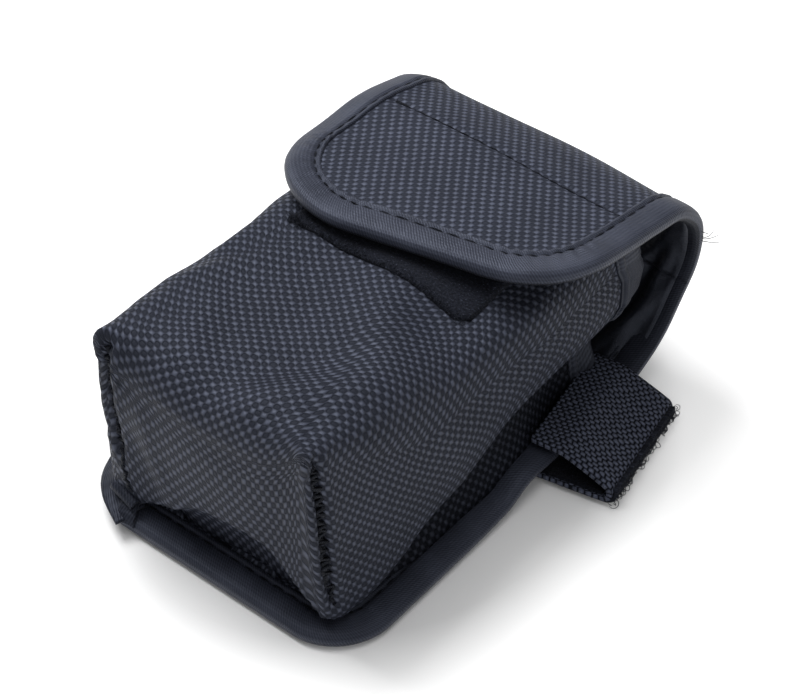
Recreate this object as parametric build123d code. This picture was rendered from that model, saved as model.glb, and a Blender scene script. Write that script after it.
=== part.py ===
from build123d import *
import math
import os

# Small soft battery pouch of coarse ballistic nylon, lying on its back.
# +Z out of the front of the pouch, +Y towards the flap fold, +X to the strap side.
# The origin is on the flat underside of the back, half way along the pocket. All in mm.

# ---- driving dimensions -------------------------------------------------
pouch_width = 63.0          # back panel and flap, binding included
back_start = -44.0          # bottom edge of the back panel
flat_end = 2.0              # from here the back panel lifts over the strap
corner_radius = 12.0        # bottom corners of the back panel
flap_end = 1.5              # the furthest the flap reaches over the pocket
flap_front_left = -2.9      # where the flap's front edge would meet its left side
flap_front_right = 10.3
flap_radius_left = 20.0
flap_radius_right = 19.0

panel_thick = 1.1           # ballistic nylon with its coating
lining_thick = 1.3          # smooth lining with its thin padding
tape_thick = 0.5            # one layer of binding tape
tape_width = 6.2            # binding tape seen on each face
sheet_thick = panel_thick + lining_thick
bound_thick = sheet_thick + tape_thick

shell_wall = 1.0            # pocket cloth
pocket_lining_wall = 0.6
mouth_tape_length = 8.0     # binding beyond the end of the pocket cloth

joint_gap = 0.4             # relief between two cloth pieces that fold on each other
fold_margin = 0.2           # each side of a fold line

webbing_width = 26.0
webbing_thick = 1.0
pile_thick = 0.9
hook_thick = 0.6
strap_centre_y = 27.6       # middle of the fold line
strap_fold_x = 41.9         # outermost face of the webbing, in the fold
strap_lean = 7.5            # degrees between the upper leg and the X axis
strap_skew = 9.5            # degrees between the fold line and the Y axis
strap_tail = 26.0           # from the fold to the free end
hook_tab_length = 15.0

half = pouch_width / 2

# The outer face of the one long cloth strip in side view, as the corners (y, z) of a line
# that is then rounded: along the back, up behind the mouth, over the top and down the flap.
strip_corners = [
    (back_start, 0), (flat_end, 0), (8, 3.1), (37, 3.2), (48.5, 9.5),
    (57.9, 24.5), (57.2, 34.5), (50.5, 41.8), (38, 44.9), (flap_end, 48.3),
]
strip_radii = [8, 10, 20, 20, 15, 13, 16, 60]
riser_fold = (3, 0.49)      # on the straight after this corner, this share of the way along
flap_fold = (6, 0.49)

# The outer face of the folded strap in side view, as corners (x, z): from the free end on the
# floor, round the fold, up the sloping upper leg and into the side seam.
strap_corners = [
    (strap_fold_x - strap_tail, pile_thick), (strap_fold_x, pile_thick), (strap_fold_x, 4.4),
    (31.5, 9.0), (25.0, 9.0),
]
strap_radii = [1.7, 1.7, 8]


# ---- layers of bent cloth --------------------------------------------------
def layer_edge(corners, radii, depth):
    """A rounded side-view line, moved by a depth to the inner, left-hand side."""
    normals = []
    for start, end in zip(corners, corners[1:]):
        along = (Vector(*end) - Vector(*start)).normalized()
        normals.append(Vector(-along.Y, along.X))
    points = [Vector(*corners[0]) + normals[0] * depth]
    fillets = []
    for corner, before, after, radius in zip(corners[1:], normals, normals[1:], radii):
        points.append(Vector(*corner) + (before + after) * (depth / (1 + before.dot(after))))
        turns_inward = before.cross(after).Z > 0
        fillets.append(radius - depth if turns_inward else radius + depth)
    points.append(Vector(*corners[-1]) + normals[-1] * depth)
    return FilletPolyline(*points, radius=fillets)


def layer_face(corners, radii, low, high):
    """The side view of the cloth between two depths below its outer face."""
    with BuildSketch() as sketch:
        with BuildLine():
            outer = layer_edge(corners, radii, low)
            inner = layer_edge(corners, radii, high)
            Line(outer @ 0, inner @ 0)
            Line(outer @ 1, inner @ 1)
        make_face()
    return sketch.sketch


# ---- the long strip: back, riser and flap --------------------------------


def fold_cut(fold):
    """A thin slot across the strip, square to it, at a fold."""
    index, share = fold
    start, end = strip_corners[index], strip_corners[index + 1]
    y = start[0] + (end[0] - start[0]) * share
    z = start[1] + (end[1] - start[1]) * share
    slope = math.degrees(math.atan2(end[1] - start[1], end[0] - start[0]))
    slot = Box(2 * pouch_width, 2 * fold_margin, 4 * bound_thick)
    return slot.moved(Location((0, y, z), (slope, 0, 0)))


def strip_layer(low, high):
    """The back, riser and flap of the strip between two depths below its outer face."""
    section = Plane.YZ * layer_face(strip_corners, strip_radii, low, high)
    split = extrude(section, amount=half, both=True) - fold_cut(riser_fold) - fold_cut(flap_fold)
    return split.solids().sort_by(Axis.Z)


# ---- outlines seen from above --------------------------------------------
def open_ended(corners, radii):
    """A rounded outline whose straight far end lies well past the fold."""
    with BuildSketch() as sketch:
        with BuildLine():
            FilletPolyline(*corners, radius=radii)
            Line(corners[-1], corners[0])
        make_face()
    return sketch.sketch


def back_outline(inset=0.0):
    side = half - inset
    bottom = back_start + inset
    radius = corner_radius - inset
    corners = [(-side, 70), (-side, bottom), (side, bottom), (side, 70)]
    return open_ended(corners, [radius, radius])


def flap_outline(inset=0.0):
    """The front edge is cut slightly askew, so its two corners differ."""
    side = half - inset
    corners = [(-side, 70), (-side, flap_front_left + inset), (side, flap_front_right + inset), (side, 70)]
    return open_ended(corners, [flap_radius_left - inset, flap_radius_right - inset])


def prism(sketch, low=-5.0, high=60.0):
    return extrude(sketch.moved(Location((0, 0, low))), amount=high - low)


def keep_inside(solid, sketch):
    return solid & prism(sketch)


def bound_edge(thick, core, outline):
    """Tape folded round the edge of a sheet: a U in section that follows the outline."""
    ring = keep_inside(thick, outline(0)) - prism(outline(tape_width))
    return ring - keep_inside(core, outline(tape_thick))


# ---- the pocket ------------------------------------------------------------
pocket_stations = (back_start, -12.0, 20.0, 52.0)
crease_end = 42.0           # sizes given for the mouth hold here

# Side view (y, z) of the outside, up the bulging bottom end and along the sinking front.
pocket_profile = [(-38.0, 0), (-41.4, 13), (-41.2, 44.3), (-20, 43.3), (52, 40.2)]
pocket_radii = [12, 2.4, 40]


def blend(a, b, y):
    """Straight-line change of a size from the bottom end of the pocket to its mouth."""
    share = (y - back_start) / (crease_end - back_start)
    return a + (b - a) * share


def across(section):
    """A side-view section carried across the whole width of the pocket."""
    width = pouch_width + 10
    return extrude(section.moved(Location((-width / 2, 0, 0))), amount=width)


def half_section(y, inset):
    """Corners of the right half of a cross-section, from mid-back round the side to mid-front."""
    foot = (blend(24.4, 25.0, y) - inset, 0)
    crease = (blend(26.6, 29.2, y) - inset * 1.1, blend(8.2, 23.6, y))
    edge = (blend(22.6, 28.0, y) - inset, blend(43.6, 38.4, y) - inset)
    tuck = ((foot[0] + crease[0]) / 2 - blend(0.4, 3.2, y), crease[1] * 0.6)
    bulge = ((crease[0] + edge[0]) / 2 + 1.2, (crease[1] + edge[1]) / 2)
    return [(0, 0), foot, tuck, crease, bulge, edge, (0, blend(45.0, 41.0, y) - inset)]


def curved_section(y, inset):
    """A pleated foot, a bulging side above the crease and a slack front."""
    middle, foot, tuck, crease, bulge, edge, crown = half_section(y, inset)
    with BuildSketch(Plane.XZ.offset(-y)) as sketch:
        with BuildLine():
            Polyline(middle, foot, tuck, crease)
            ThreePointArc(crease, bulge, edge)
            mirror(about=Plane.YZ)
            ThreePointArc(edge, crown, (-edge[0], edge[1]))
        make_face()
    return sketch.sketch


def plain_half(inset):
    """The right half of the space inside the cloth, with flat three-cornered sides."""
    ends = (pocket_stations[0], pocket_stations[-1])
    first, second = ([(x, y, z) for x, z in half_section(y, inset)] for y in ends)
    polygons = [first, second]
    for i in range(len(first)):
        j = (i + 1) % len(first)
        polygons += [(first[i], first[j], second[j]), (first[i], second[j], second[i])]
    return Solid(Shell([Face(Wire.make_polygon(polygon, close=True)) for polygon in polygons]))


def pocket_side(inset):
    """Everything behind the side view of the bottom end and below that of the front."""
    with BuildSketch(Plane.YZ) as sketch:
        with BuildLine():
            edge = layer_edge(pocket_profile, pocket_radii, -inset)
            Polyline(edge @ 1, (pocket_stations[-1], 0), edge @ 0)
        make_face()
    return across(sketch.sketch)


def corner_plan(z, side, bottom, radius, inset):
    """Plan of the two darted corners at one height: rounded outside, cut off straight inside."""
    cut = 0.75 * (radius - inset)
    far_left, far_right = (-side - 12, 70), (side + 12, 70)
    side, bottom = side - inset, bottom + inset
    if inset > 0:
        corners = [far_left, (-side, bottom + cut), (-side + cut, bottom),
                   (side - cut, bottom), (side, bottom + cut), far_right]
        outline = make_face(Polyline(*corners, close=True))
    else:
        corners = [far_left, (-side, bottom), (side, bottom), far_right]
        outline = open_ended(corners, [radius - inset, radius - inset])
    return outline.moved(Location((0, 0, z)))


def pocket_corners(inset):
    """Rounds the two darted corners, generously at the foot and tightly at the front."""
    levels = [(0, 24.9, -38.6, 6.5), (9, 27.1, -40.6, 5.6), (26, 26.2, -42.2, 4.4), (48, 22.4, -42.6, 2.6)]
    return loft([corner_plan(*level, inset) for level in levels], ruled=True)


def pocket_form(inset):
    """The outside of the pocket moved inwards; inside the cloth it is plain."""
    if inset > 0:
        right = plain_half(inset)
        form = right + mirror(right, about=Plane.YZ)
    else:
        form = loft([curved_section(y, inset) for y in pocket_stations], ruled=True)
    return form & pocket_side(inset) & pocket_corners(inset)


def mouth_cutter(shift):
    """Everything in front of the slanted mouth line, moved along the pocket by a shift."""
    foot_y = 31.0 - shift * 0.25
    with BuildSketch(Plane.YZ) as sketch:
        with BuildLine():
            ThreePointArc((26.6 + shift, 46), (37.4 + shift, 25), (foot_y, 0))
            Polyline((foot_y, 0), (-60, 0), (-60, 46), (26.6 + shift, 46))
        make_face()
    return across(sketch.sketch)


def under_back():
    """Everything below the middle of the back panel's cloth."""
    middle = [(y, z + panel_thick / 2) for y, z in strip_corners[:5]]
    corners = [(back_start - 10, 1), *middle, (60, 10), (60, -10), (back_start - 10, -10)]
    section = Plane.YZ * Face(Wire.make_polygon([Vector(*corner, 0) for corner in corners], close=True))
    return extrude(section, amount=half + 15, both=True)


# ---- the strap ---------------------------------------------------------------
strap_pivot_x = strap_fold_x + pile_thick


def about_pivot(turn):
    """Turn about the vertical through the middle of the fold line."""
    there = Location((strap_pivot_x, strap_centre_y, 0))
    back = Location((-strap_pivot_x, -strap_centre_y, 0))
    return there * Location((0, 0, 0), (0, 0, turn)) * back


def strap_piece(shape, turn):
    """A side-view shape carried along the skewed fold line, cut to a turned band of webbing."""
    carried = extrude(Plane.XZ * shape, amount=60, both=True)
    band = Rectangle(200, webbing_width).moved(Location((strap_pivot_x, strap_centre_y, 0)))
    return carried.moved(about_pivot(strap_skew)) & prism(band.moved(about_pivot(turn)))


def strap_face(low, high, side):
    """The folded strap between two depths, above (1) or below (-1) the middle of its fold."""
    height = 20.0
    middle = (strap_corners[1][1] + strap_corners[2][1]) / 2
    centre = middle + side * (height + joint_gap) / 2
    window = Rectangle(2 * pouch_width, height).moved(Location((0, centre, 0)))
    return layer_face(strap_corners, strap_radii, low, high) & window


def lower_leg(from_end, length, low, thick):
    """A flat piece along the lower leg, measured from its free end."""
    shape = Rectangle(length, thick)
    return shape.moved(Location((strap_fold_x - strap_tail + from_end + length / 2, low + thick / 2, 0)))


def strap_upper():
    return strap_piece(strap_face(0, webbing_thick, 1), strap_lean)


def strap_lower():
    return strap_piece(strap_face(0, webbing_thick, -1), 2 * strap_skew - strap_lean)


def strap_pile():
    bare = lower_leg(0, hook_tab_length, 0, pile_thick)
    return strap_piece(strap_face(-pile_thick, 0, -1) - bare, 2 * strap_skew - strap_lean)


def strap_hook_tab():
    shape = lower_leg(0, hook_tab_length, pile_thick + webbing_thick, hook_thick)
    return strap_piece(shape, 2 * strap_skew - strap_lean)


# ---- patches and trims --------------------------------------------------------
def front_patch(form):
    """Loop tape sewn to the front, following its curve."""
    window = Pos(1, 12, 0) * Rectangle(46, 24)
    raised = pocket_form(-pile_thick) & prism(window, 30)
    return raised - form


def flap_patch():
    """Hook tape sewn under the flap, over the loop tape."""
    window = Pos(-2, 22.5, 0) * Rectangle(38, 14)
    return keep_inside(strip_layer(sheet_thick, sheet_thick + hook_thick)[2], window)


def tape_knot():
    """The two ends of the binding tape, folded over each other at the bottom left corner."""
    with BuildPart() as part:
        with BuildSketch(Plane.XZ):
            with BuildLine():
                Polyline((-4.5, 0), (3.5, 0))
                ThreePointArc((3.5, 0), (4.6, 1.1), (3.5, 2.2))
                Spline((3.5, 2.2), (0, 2.0), (-4.5, 0.9))
                Line((-4.5, 0.9), (-4.5, 0))
            make_face()
        extrude(amount=2.2, both=True)
    reach = 10.3 * math.sqrt(0.5)
    centre_x = corner_radius - half - reach
    centre_y = back_start + corner_radius - reach
    place = Location((centre_x, centre_y, bound_thick), (0, 0, -45))
    return part.part.moved(place)


# ---- build ------------------------------------------------------------------
def strip_pieces():
    """Cloth, lining and bound edge of the back, the riser and the flap."""
    layers = [strip_layer(0, bound_thick), strip_layer(tape_thick, sheet_thick),
              strip_layer(0, panel_thick), strip_layer(panel_thick, sheet_thick)]
    pieces = {}
    for name, outline, thick, core, panel, lining in zip(
            ("back", "riser", "flap"), (back_outline, back_outline, flap_outline), *layers):
        binding = bound_edge(thick, core, outline)
        pieces[name + "_panel"] = keep_inside(panel, outline(tape_thick)) - binding
        pieces[name + "_lining"] = keep_inside(lining, outline(tape_thick)) - binding
        pieces[name + "_binding"] = binding
    left, right = pieces.pop("riser_binding").solids().sort_by(Axis.X)
    pieces["riser_binding_left"] = left
    pieces["riser_binding_right"] = right
    return pieces


def pocket_pieces(neighbours):
    taken = [under_back(), *neighbours]
    outer = pocket_form(0)
    middle = pocket_form(shell_wall)
    inner = pocket_form(shell_wall + pocket_lining_wall)
    cloth = mouth_cutter(0)
    shell = largest(((outer - middle) & cloth) - taken)
    lining = largest(((middle - inner) & cloth) - taken)
    band = mouth_cutter(mouth_tape_length) - mouth_cutter(-1.0)
    wrap = pocket_form(-0.35) - pocket_form(shell_wall + pocket_lining_wall + 0.35)
    binding = largest((wrap & band) - taken - shell - lining)
    return {"pocket_shell": shell, "pocket_lining": lining,
            "mouth_binding": binding, "front_loop_patch": front_patch(outer)}


def largest(shape):
    """The main solid, without slivers left by a cut."""
    return shape.solids().sort_by(SortBy.VOLUME)[-1]


def main():
    pieces = strip_pieces()
    pieces["strap_upper"] = strap_upper()
    back = [pieces[name] for name in ("back_panel", "back_lining", "back_binding", "strap_upper")]
    pieces.update(pocket_pieces(back))
    pieces["flap_hook_patch"] = flap_patch()
    pieces["tape_knot"] = tape_knot()
    pieces["strap_lower"] = strap_lower()
    pieces["strap_loop_tape"] = strap_pile()
    pieces["strap_hook_tab"] = strap_hook_tab()
    for name, piece in pieces.items():
        solids = piece.solids()
        print(name, len(solids), [round(solid.volume, 1) for solid in solids])
        export_step(piece, f"parts/{name}.step")


if __name__ == "__main__":
    os.makedirs("parts", exist_ok=True)
    main()
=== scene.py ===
import math

import bpy
import numpy as np
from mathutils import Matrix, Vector, noise
from mathutils.bvhtree import BVHTree


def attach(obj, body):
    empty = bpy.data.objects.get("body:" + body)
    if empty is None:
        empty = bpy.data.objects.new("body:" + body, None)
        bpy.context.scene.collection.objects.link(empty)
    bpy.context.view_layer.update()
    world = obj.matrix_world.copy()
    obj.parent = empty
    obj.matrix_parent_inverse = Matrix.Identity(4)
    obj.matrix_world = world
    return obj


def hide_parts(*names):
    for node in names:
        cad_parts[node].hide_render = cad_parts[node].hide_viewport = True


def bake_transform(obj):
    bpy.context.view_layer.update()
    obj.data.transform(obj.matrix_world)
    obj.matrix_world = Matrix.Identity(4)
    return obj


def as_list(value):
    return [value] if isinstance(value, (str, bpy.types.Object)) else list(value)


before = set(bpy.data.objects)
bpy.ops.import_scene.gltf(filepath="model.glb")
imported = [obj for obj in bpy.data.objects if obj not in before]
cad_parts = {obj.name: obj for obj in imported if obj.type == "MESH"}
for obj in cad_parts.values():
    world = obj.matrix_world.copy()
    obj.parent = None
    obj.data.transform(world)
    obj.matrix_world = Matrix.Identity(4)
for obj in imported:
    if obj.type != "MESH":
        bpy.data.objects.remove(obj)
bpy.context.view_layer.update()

# Small soft battery pouch. All shapes are worked out in millimetres in the CAD frame and
# turned into metres when a mesh is made.
MM = 0.001
DYE_GREEN, DYE_BLUE = 1.12, 1.62    # the black dye's blue cast, against its red
SKY_TINT = (0.73, 0.80, 1.0, 1)     # the cloth's highlights are bluish too
rng = np.random.default_rng(11)
scene = bpy.context.scene


def smooth(value, low, high):
    t = np.clip((np.asarray(value, float) - low) / (high - low), 0, 1)
    return t * t * (3 - 2 * t)


def mix(a, b, t):
    return a + (b - a) * t


def bump_at(x, y, cx, cy, rx, ry, turn=0.0):
    """A soft hill of height 1 in a plane, turned by some degrees."""
    c, s = math.cos(math.radians(turn)), math.sin(math.radians(turn))
    u = ((x - cx) * c + (y - cy) * s) / rx
    v = (-(x - cx) * s + (y - cy) * c) / ry
    return np.exp(-0.5 * (u * u + v * v))


def run_along(points):
    """Distance travelled along a line, at each of its points."""
    return np.concatenate([[0], np.cumsum(np.linalg.norm(np.diff(points, axis=0), axis=1))])


def places_at(where, run, points):
    """The places at some distances along a line of points."""
    return np.stack([np.interp(where, run, column) for column in np.transpose(points)], -1)


def unit(vectors):
    vectors = np.asarray(vectors, float)
    return vectors / np.maximum(np.linalg.norm(vectors, axis=-1, keepdims=True), 1e-9)


def put_in_scene(name, data):
    piece = bpy.data.objects.new(name, data)
    scene.collection.objects.link(piece)
    return piece


def noise_at(x, y=0.0, z=0.0):
    """Smooth noise from -1 to 1, with features about 1 apart."""
    return noise.noise(Vector((x, y, z)))


# ---- materials ----
class Value:
    """A number worked out by shader nodes. Arithmetic with it adds math nodes."""

    def __init__(self, nodes, socket):
        self.nodes, self.socket = nodes, socket

    def __rsub__(self, other):
        return self.nodes.math("SUBTRACT", other, self)

    def wave(self, length):
        """A sine from -1 to 1 with a wavelength."""
        return self.nodes.math("SINE", self * (2 * math.pi / length))


def arithmetic(operation):
    def work_out(value, *other):
        return value.nodes.math(operation, value, *other)
    return work_out


for method, operation in (
        ("__add__", "ADD"), ("__sub__", "SUBTRACT"), ("__mul__", "MULTIPLY"), ("__truediv__", "DIVIDE"),
        ("__mod__", "FLOORED_MODULO"), ("__pow__", "POWER"), ("__abs__", "ABSOLUTE"),
        ("at_least", "MAXIMUM"), ("floor", "FLOOR")):
    setattr(Value, method, arithmetic(operation))


class Nodes:
    """The nodes of one material, around its Principled shader."""

    def __init__(self, name):
        self.material = bpy.data.materials.new(name)
        self.material.use_nodes = True
        self.tree = self.material.node_tree

    def fill(self, node, pins):
        for name, value in pins.items():
            if isinstance(value, Value):
                self.tree.links.new(value.socket, node.inputs[name])
            else:
                node.inputs[name].default_value = value

    def value(self, kind, output, pins={}, **settings):
        """Adds a node with its settings and pins, and gives one of its outputs."""
        node = self.tree.nodes.new(kind)
        for key, setting in settings.items():
            setattr(node, key, setting)
        self.fill(node, pins)
        return Value(self, node.outputs[output])

    def math(self, operation, *values):
        return self.value("ShaderNodeMath", 0, dict(enumerate(values)), operation=operation)

    def cloth(self):
        """The place on the flat cloth in mm: as a vector, across and along."""
        vector = self.value("ShaderNodeAttribute", "Vector", attribute_name="cloth")
        return vector, *(self.value("ShaderNodeSeparateXYZ", axis, {0: vector}) for axis in "XY")

    def noise(self, vector, scale, detail=2.0, roughness=0.5):
        return self.value("ShaderNodeTexNoise", "Fac", {
            "Vector": vector, "Scale": scale, "Detail": detail, "Roughness": roughness})

    def ramp(self, value, *stops):
        """A colour ramp; each stop is a place and a brightness, in the near-black dye's tint."""
        node = self.tree.nodes.new("ShaderNodeValToRGB")
        self.fill(node, {0: value})
        ramp = node.color_ramp
        while len(ramp.elements) < len(stops):
            ramp.elements.new(0.5)
        for element, (place, level) in zip(ramp.elements, stops):
            element.position = place
            element.color = (level, level * DYE_GREEN, level * DYE_BLUE, 1)
        return Value(self, node.outputs["Color"])

    def bump(self, height, distance, strength=1.0, **under):
        """Relief of a height in mm; Normal is a finer relief that it adds to."""
        return self.value("ShaderNodeBump", "Normal", {
            "Height": height, "Distance": distance * MM, "Strength": strength, **under})

    def finish(self, pins):
        self.fill(self.tree.nodes["Principled BSDF"], pins)
        return self.material

    def fabric(self, colour, roughness, normal, sheen, specular, **more):
        return self.finish({
            "Base Color": colour, "Roughness": roughness, "Normal": normal, "Specular IOR Level": specular,
            "Specular Tint": SKY_TINT, "Sheen Weight": sheen, "Sheen Roughness": 0.4, **more})


def woven(name, warp, weft, level, second_tone, slant=0.0, gloss=0.75):
    """Plain weave of thick flat yarns of one black: the ovals of one yarn are painted paler than those of the
    other, a painted sheen.
    """
    n = Nodes(name)
    vector, across, along = n.cloth()
    wobble = (n.noise(vector, 0.35, 2) - 0.5) * 0.7
    u = (across + wobble + along * slant) / warp
    v = (along + wobble) / weft
    # the checkerboard of floats: those of the yarn with the painted sheen are the fuller ones and almost
    # touch at their corners
    field, wider = u.wave(2.0) * v.wave(2.0), 0.22
    pale = ((field + wider) / (1 + wider)).at_least(0.0) ** 0.6
    dark = ((-wider - field) / (1 - wider)).at_least(0.0) ** 0.6
    odd = (u.floor() + v.floor()) % 2.0
    even = 1.0 - odd
    fibre = u.wave(1 / 6) * even + v.wave(1 / 6) * odd
    cloudy = (n.noise(vector, 0.09, 3) + n.noise(vector, 1.3, 3, 0.8)) * 0.65 + 0.35
    # painted sheen: that yarn's floats are lighter, while the other yarn's floats and the gaps stay at
    # second_tone
    tone = pale.at_least(second_tone) * cloudy
    colour = n.ramp(tone, (0.0, level * 0.1), (0.5, level * 0.55), (1.0, level * 1.15))
    raised = pale + dark * 0.2 + fibre * 0.03
    rough = 0.6 - (pale + dark) * 0.06
    # the two sets of yarns shine across each other
    along_yarn = n.value("ShaderNodeTangent", 0, direction_type="UV_MAP", uv_map="place")
    yarns = {"Tangent": along_yarn, "Anisotropic": 0.45, "Anisotropic Rotation": even * 0.25}
    return n.fabric(colour, rough, n.bump(raised, 0.3), 0.0, pale.at_least(0.26) * gloss, **yarns)


def twill(name, pitch, level, slope, depth, gloss, roughness=0.5):
    """Satin or twill tape: fine slanting lines with a soft sheen."""
    n = Nodes(name)
    vector, across, along = n.cloth()
    place = across + along * slope + n.noise(vector, 0.6, 2) * 0.5
    line = place.wave(pitch) * 0.5 + 0.5
    cross = along.wave(pitch * 1.25) * 0.5 + 0.5
    height = line * 0.7 + cross * 0.3 + n.noise(vector, 3.2, 3, 0.7) * 0.6
    patch = n.noise(vector, 0.12, 3)
    tone = height * 0.4 + patch * 0.55
    colour = n.ramp(tone, (0.25, level * 0.45), (0.85, level * 1.55))
    rough = (patch - 0.5) * 0.2 + roughness
    return n.fabric(colour, rough, n.bump(height, depth), 0.04, tone * gloss)


def taffeta(name, level):
    """Thin dull lining with a fine plain weave and small puckers."""
    n = Nodes(name)
    vector, across, along = n.cloth()
    fine = across.wave(0.45) * along.wave(0.45)
    crumple = n.noise(vector, 0.22, 3, 0.6)
    colour = n.ramp(crumple, (0.3, level * 0.75), (0.75, level * 1.3))
    return n.fabric(colour, 0.42, n.bump(crumple, 0.7, 0.6, Normal=n.bump(fine, 0.02)), 0.02, 0.5)


def pile(name, level, scale):
    """Napped loops or small hooks."""
    n = Nodes(name)
    vector = n.cloth()[0]
    fuzz = n.noise(vector, 2.6, 4, 0.75)
    height = fuzz - n.value("ShaderNodeTexVoronoi", "Distance", {"Vector": vector, "Scale": scale}) * 0.6
    # the brightest noise peaks, at eight times the level, are painted glints on the loops
    colour = n.ramp(fuzz, (0.4, level * 0.3), (0.62, level), (0.72, level * 8))
    return n.fabric(colour, 0.8, n.bump(height, 0.5), 0.03, 0.1)


def twisted(name, level):
    """Twisted thread."""
    n = Nodes(name)
    vector, across, along = n.cloth()
    ply = (across + along * 0.8).wave(0.35)
    colour = n.ramp(n.noise(vector, 4.0, 2), (0.3, level * 0.7), (0.8, level * 1.4))
    return n.fabric(colour, 0.5, n.bump(ply, 0.05), 0.02, 0.3)


def coarse_webbing(name, level):
    """Coarse webbing: short fat yarns staggered from row to row, with dark gaps."""
    n = Nodes(name)
    vector, across, along = n.cloth()
    wobble = n.noise(vector, 0.45, 3) - 0.5
    u = (across + wobble) / 0.82
    v = (along - wobble) / 1.4 + u.floor() % 2.0 * 0.5
    side = 1.0 - (abs(u % 1.0 - 0.5) * 2.1) ** 2.2
    end = 1.0 - (abs(v % 1.0 - 0.5) * 2.3) ** 2.4
    height = (side * end).at_least(0.0) ** 0.5
    fuzz = n.noise(vector, 2.4, 3, 0.7)
    tone = height * (fuzz * 1.1 + 0.3)
    colour = n.ramp(tone, (0.1, level * 0.12), (0.9, level * 1.3))
    return n.fabric(colour, 0.6, n.bump(height + fuzz * 0.3, 0.5), 0.02, tone * 0.35)


# yarn or line spacings in mm, then brightness
BALLISTIC = woven("ballistic_nylon", 1.11, 0.96, 0.057, 0.238)
# a darker, duller copy of the cloth: painted shade on the tucks under the side creases
BALLISTIC_PAINTED_SHADE = woven("ballistic_nylon_painted_shade", 1.11, 0.96, 0.022, 0.196, gloss=0.35)
BALLISTIC_FLAP = woven("ballistic_nylon_flap", 0.96, 1.08, 0.073, 0.294, slant=0.22)
LINING = taffeta("lining_taffeta", 0.009)
TAPE = twill("binding_satin", 0.55, 0.036, 0.6, 0.085, 0.7, roughness=0.45)
TAPE_INSIDE = twill("binding_reverse", 0.5, 0.026, 0.6, 0.05, 0.55)
# a darker, duller copy of the tape's reverse: painted shade on its inner faces along the riser and flap
TAPE_PAINTED_SHADE = twill("binding_painted_shade", 0.5, 0.012, 0.6, 0.05, 0.35)
TAPE_END = twill("binding_end", 0.5, 0.018, 0.6, 0.05, 0.45)
MOUTH = twill("mouth_twill", 0.62, 0.020, 0.08, 0.06, 0.7)
LOOP = pile("loop_pile", 0.026, 1.7)
HOOK = pile("hook_tape", 0.012, 2.4)
WEBBING = coarse_webbing("strap_webbing_cloth", 0.075)
THREAD = twisted("sewing_thread", 0.006)
FIBRE = twisted("stray_fibre", 0.02)


# ---- meshes ----
def grid_faces(rows, columns, wrap=False, flip=False):
    """Quads of a grid of points numbered row by row."""
    r = np.arange(rows - 1)[:, None]
    c = np.arange(columns if wrap else columns - 1)[None, :]
    a, b = r * columns + c, r * columns + (c + 1) % columns
    quads = np.stack([a, b, b + columns, a + columns], -1).reshape(-1, 4)
    return (quads[:, ::-1] if flip else quads).tolist()


def tube_faces(rings, sides, flip=False):
    """Faces of a tube of rings, with its two flat ends."""
    first, last = list(range(sides)), list(range((rings - 1) * sides, rings * sides))
    ends = [first, last[::-1]] if flip else [first[::-1], last]
    return grid_faces(rings, sides, True, flip) + ends


def both_sides(faces, count):
    """Faces of a sheet's back, numbered count further on, and of the rim between the two."""
    edges = dict.fromkeys((a, b) for face in faces for a, b in zip(face, face[1:] + face[:1]))
    rim = [[b, a, a + count, b + count] for a, b in edges if (b, a) not in edges]
    return [[i + count for i in reversed(face)] for face in faces], rim


class Shape:
    """Points, faces and cloth places of one piece, gathered bit by bit."""

    def __init__(self):
        self.points, self.faces, self.cloth = [], [], []
        self.count = 0

    def add(self, points, faces, cloth, own=()):
        """own holds, for the last faces, cloth places that differ from those of their points."""
        points = np.asarray(points, float).reshape(-1, 3)
        cloth = np.asarray(cloth, float).reshape(-1, 2)
        plain = len(faces) - len(own)
        self.points.append(points)
        self.cloth += [cloth[face] for face in faces[:plain]]
        self.cloth += [np.asarray(places, float) for places in own]
        self.faces += [[i + self.count for i in face] for face in faces]
        self.count += len(points)

    def make(self, name, material):
        points = np.concatenate(self.points)
        mesh = bpy.data.meshes.new(name)
        mesh.from_pydata((points * MM).tolist(), [], self.faces)
        places = np.concatenate(self.cloth)
        place = np.zeros((len(places), 3), np.float32)
        place[:, :2] = places
        mesh.attributes.new("cloth", "FLOAT_VECTOR", "CORNER").data.foreach_set("vector", place.ravel())
        mesh.uv_layers.new(name="place").data.foreach_set("uv", places.ravel())
        mesh.polygons.foreach_set("use_smooth", [True] * len(mesh.polygons))
        mesh.update()
        mesh.materials.append(material)
        return put_in_scene(name, mesh)


def repaint(piece, index, *materials):
    """Gives each face the piece's own material or one of some further ones, by index."""
    for material in materials:
        piece.data.materials.append(material)
    piece.data.polygons.foreach_set("material_index", index.astype(int))


def normals_of(points, faces):
    """Area-weighted vertex normals."""
    normals = np.zeros_like(points)
    quads = np.array([face if len(face) == 4 else [*face, face[-1]] for face in faces])
    a, b, c, d = (points[quads[:, i]] for i in range(4))
    face_normals = np.cross(c - a, d - b)
    for i in range(4):
        np.add.at(normals, quads[:, i], face_normals)
    return unit(normals)


def thick_sheet(shape, points, faces, cloth, thickness, own=()):
    """Adds a sheet and its back, thickness mm behind it, with a closed rim; own is as in Shape.add."""
    points = np.asarray(points, float)
    back = points - normals_of(points, faces) * thickness
    behind, rim = both_sides(faces, len(points))
    plain = len(faces) - len(own)
    ordered = rim + faces[:plain] + behind[:plain] + faces[plain:] + behind[plain:]
    own = [*own, *(places[::-1] for places in own)]
    shape.add(np.concatenate([points, back]), ordered, np.concatenate([cloth, cloth]), own)


def sheet_piece(name, material, *sheet):
    shape = Shape()
    thick_sheet(shape, *sheet)
    return shape.make(name, material)


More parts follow.
